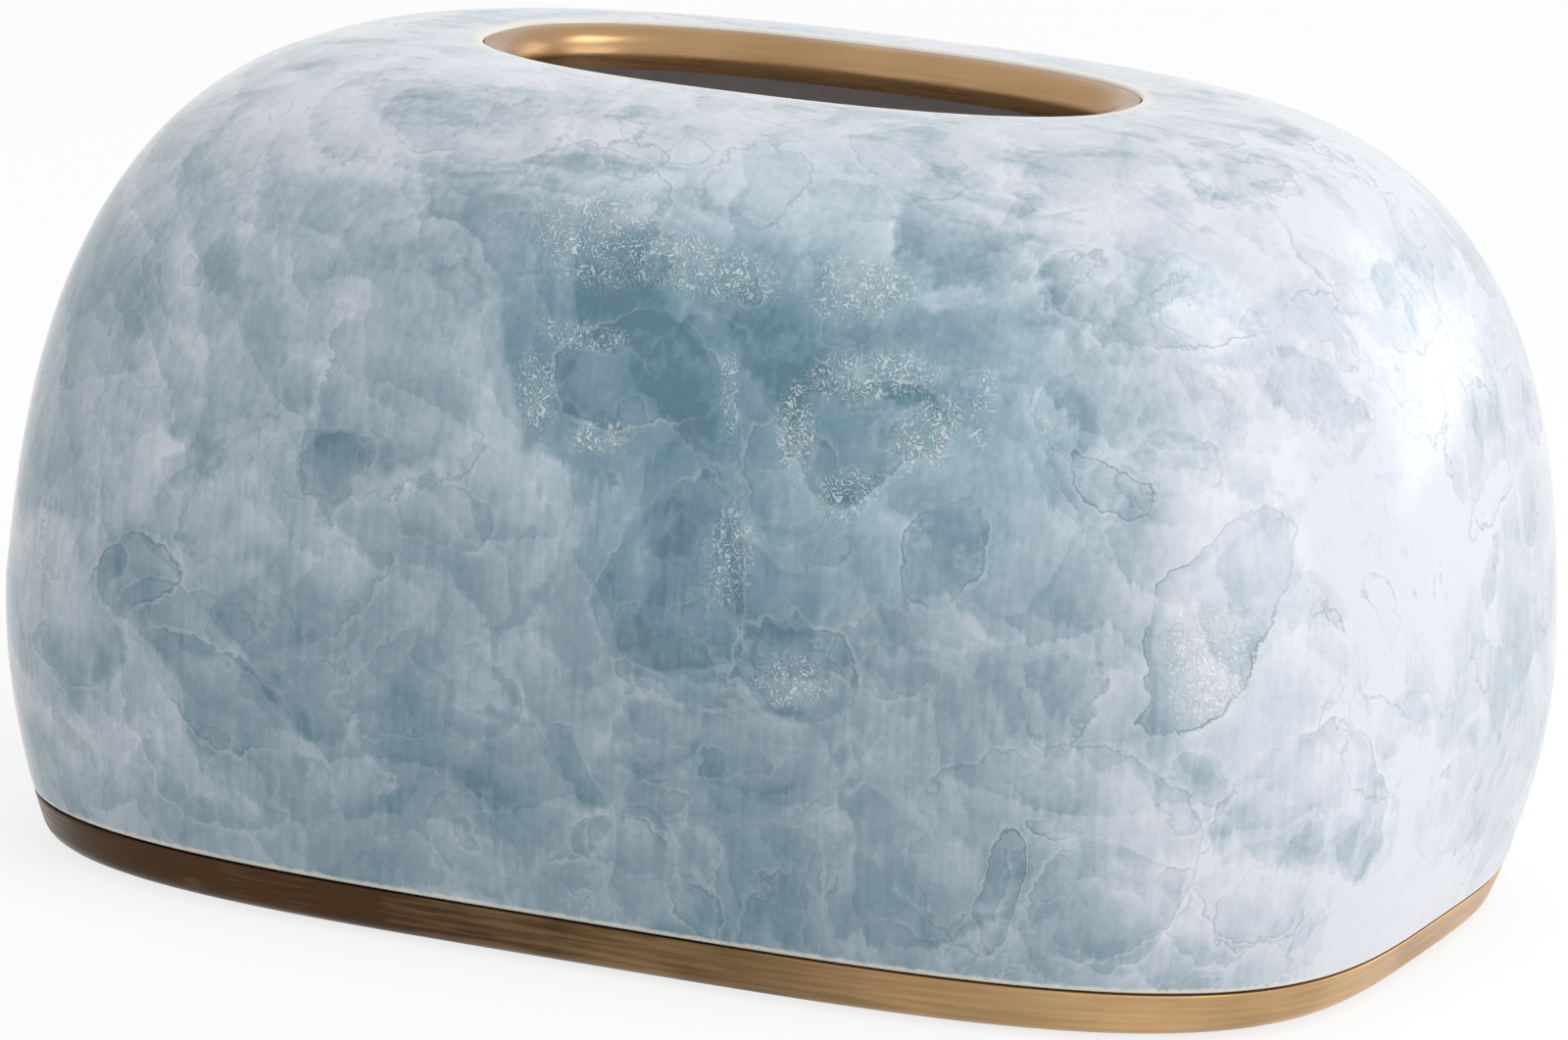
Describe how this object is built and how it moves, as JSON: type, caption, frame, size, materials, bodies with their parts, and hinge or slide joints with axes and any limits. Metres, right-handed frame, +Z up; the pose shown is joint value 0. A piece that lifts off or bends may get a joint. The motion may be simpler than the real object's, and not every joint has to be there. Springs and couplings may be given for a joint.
{
  "type": "tissue box cover",
  "caption": "Domed glazed ceramic tissue box cover with an oval slot lined in gold, standing on a gold base that it lifts off from for refilling.",
  "frame": {"origin": "centre of the underside, on the surface that the object stands on", "axes": "+X along the length, -Y towards the front, +Z up through the slot"},
  "size_m": [0.24, 0.161, 0.13],
  "materials": {
    "glaze": "gloss marbled glaze",
    "rim_gold": "satin antique gold",
    "plinth_gold": "satin antique gold",
    "panel_board": "grey faced fibreboard",
    "screw_steel": "zinc plated",
    "gasket_rubber": "matt",
    "mat_rubber": "matt, fine ribs"
  },
  "bodies": {
    "base": {"base_plinth": "plinth_gold", "floor_panel": "panel_board", "floor_screws": "screw_steel", "seat_gasket": "gasket_rubber", "non_slip_mat": "mat_rubber"},
    "cover": {"ceramic_shell": "glaze", "slot_rim": "rim_gold"}
  },
  "joints": [
    {"name": "cover_lift", "type": "slide", "parent": "base", "child": "cover", "axis": [0, 0, 1], "range_m": [0, 0.14]}
  ]
}
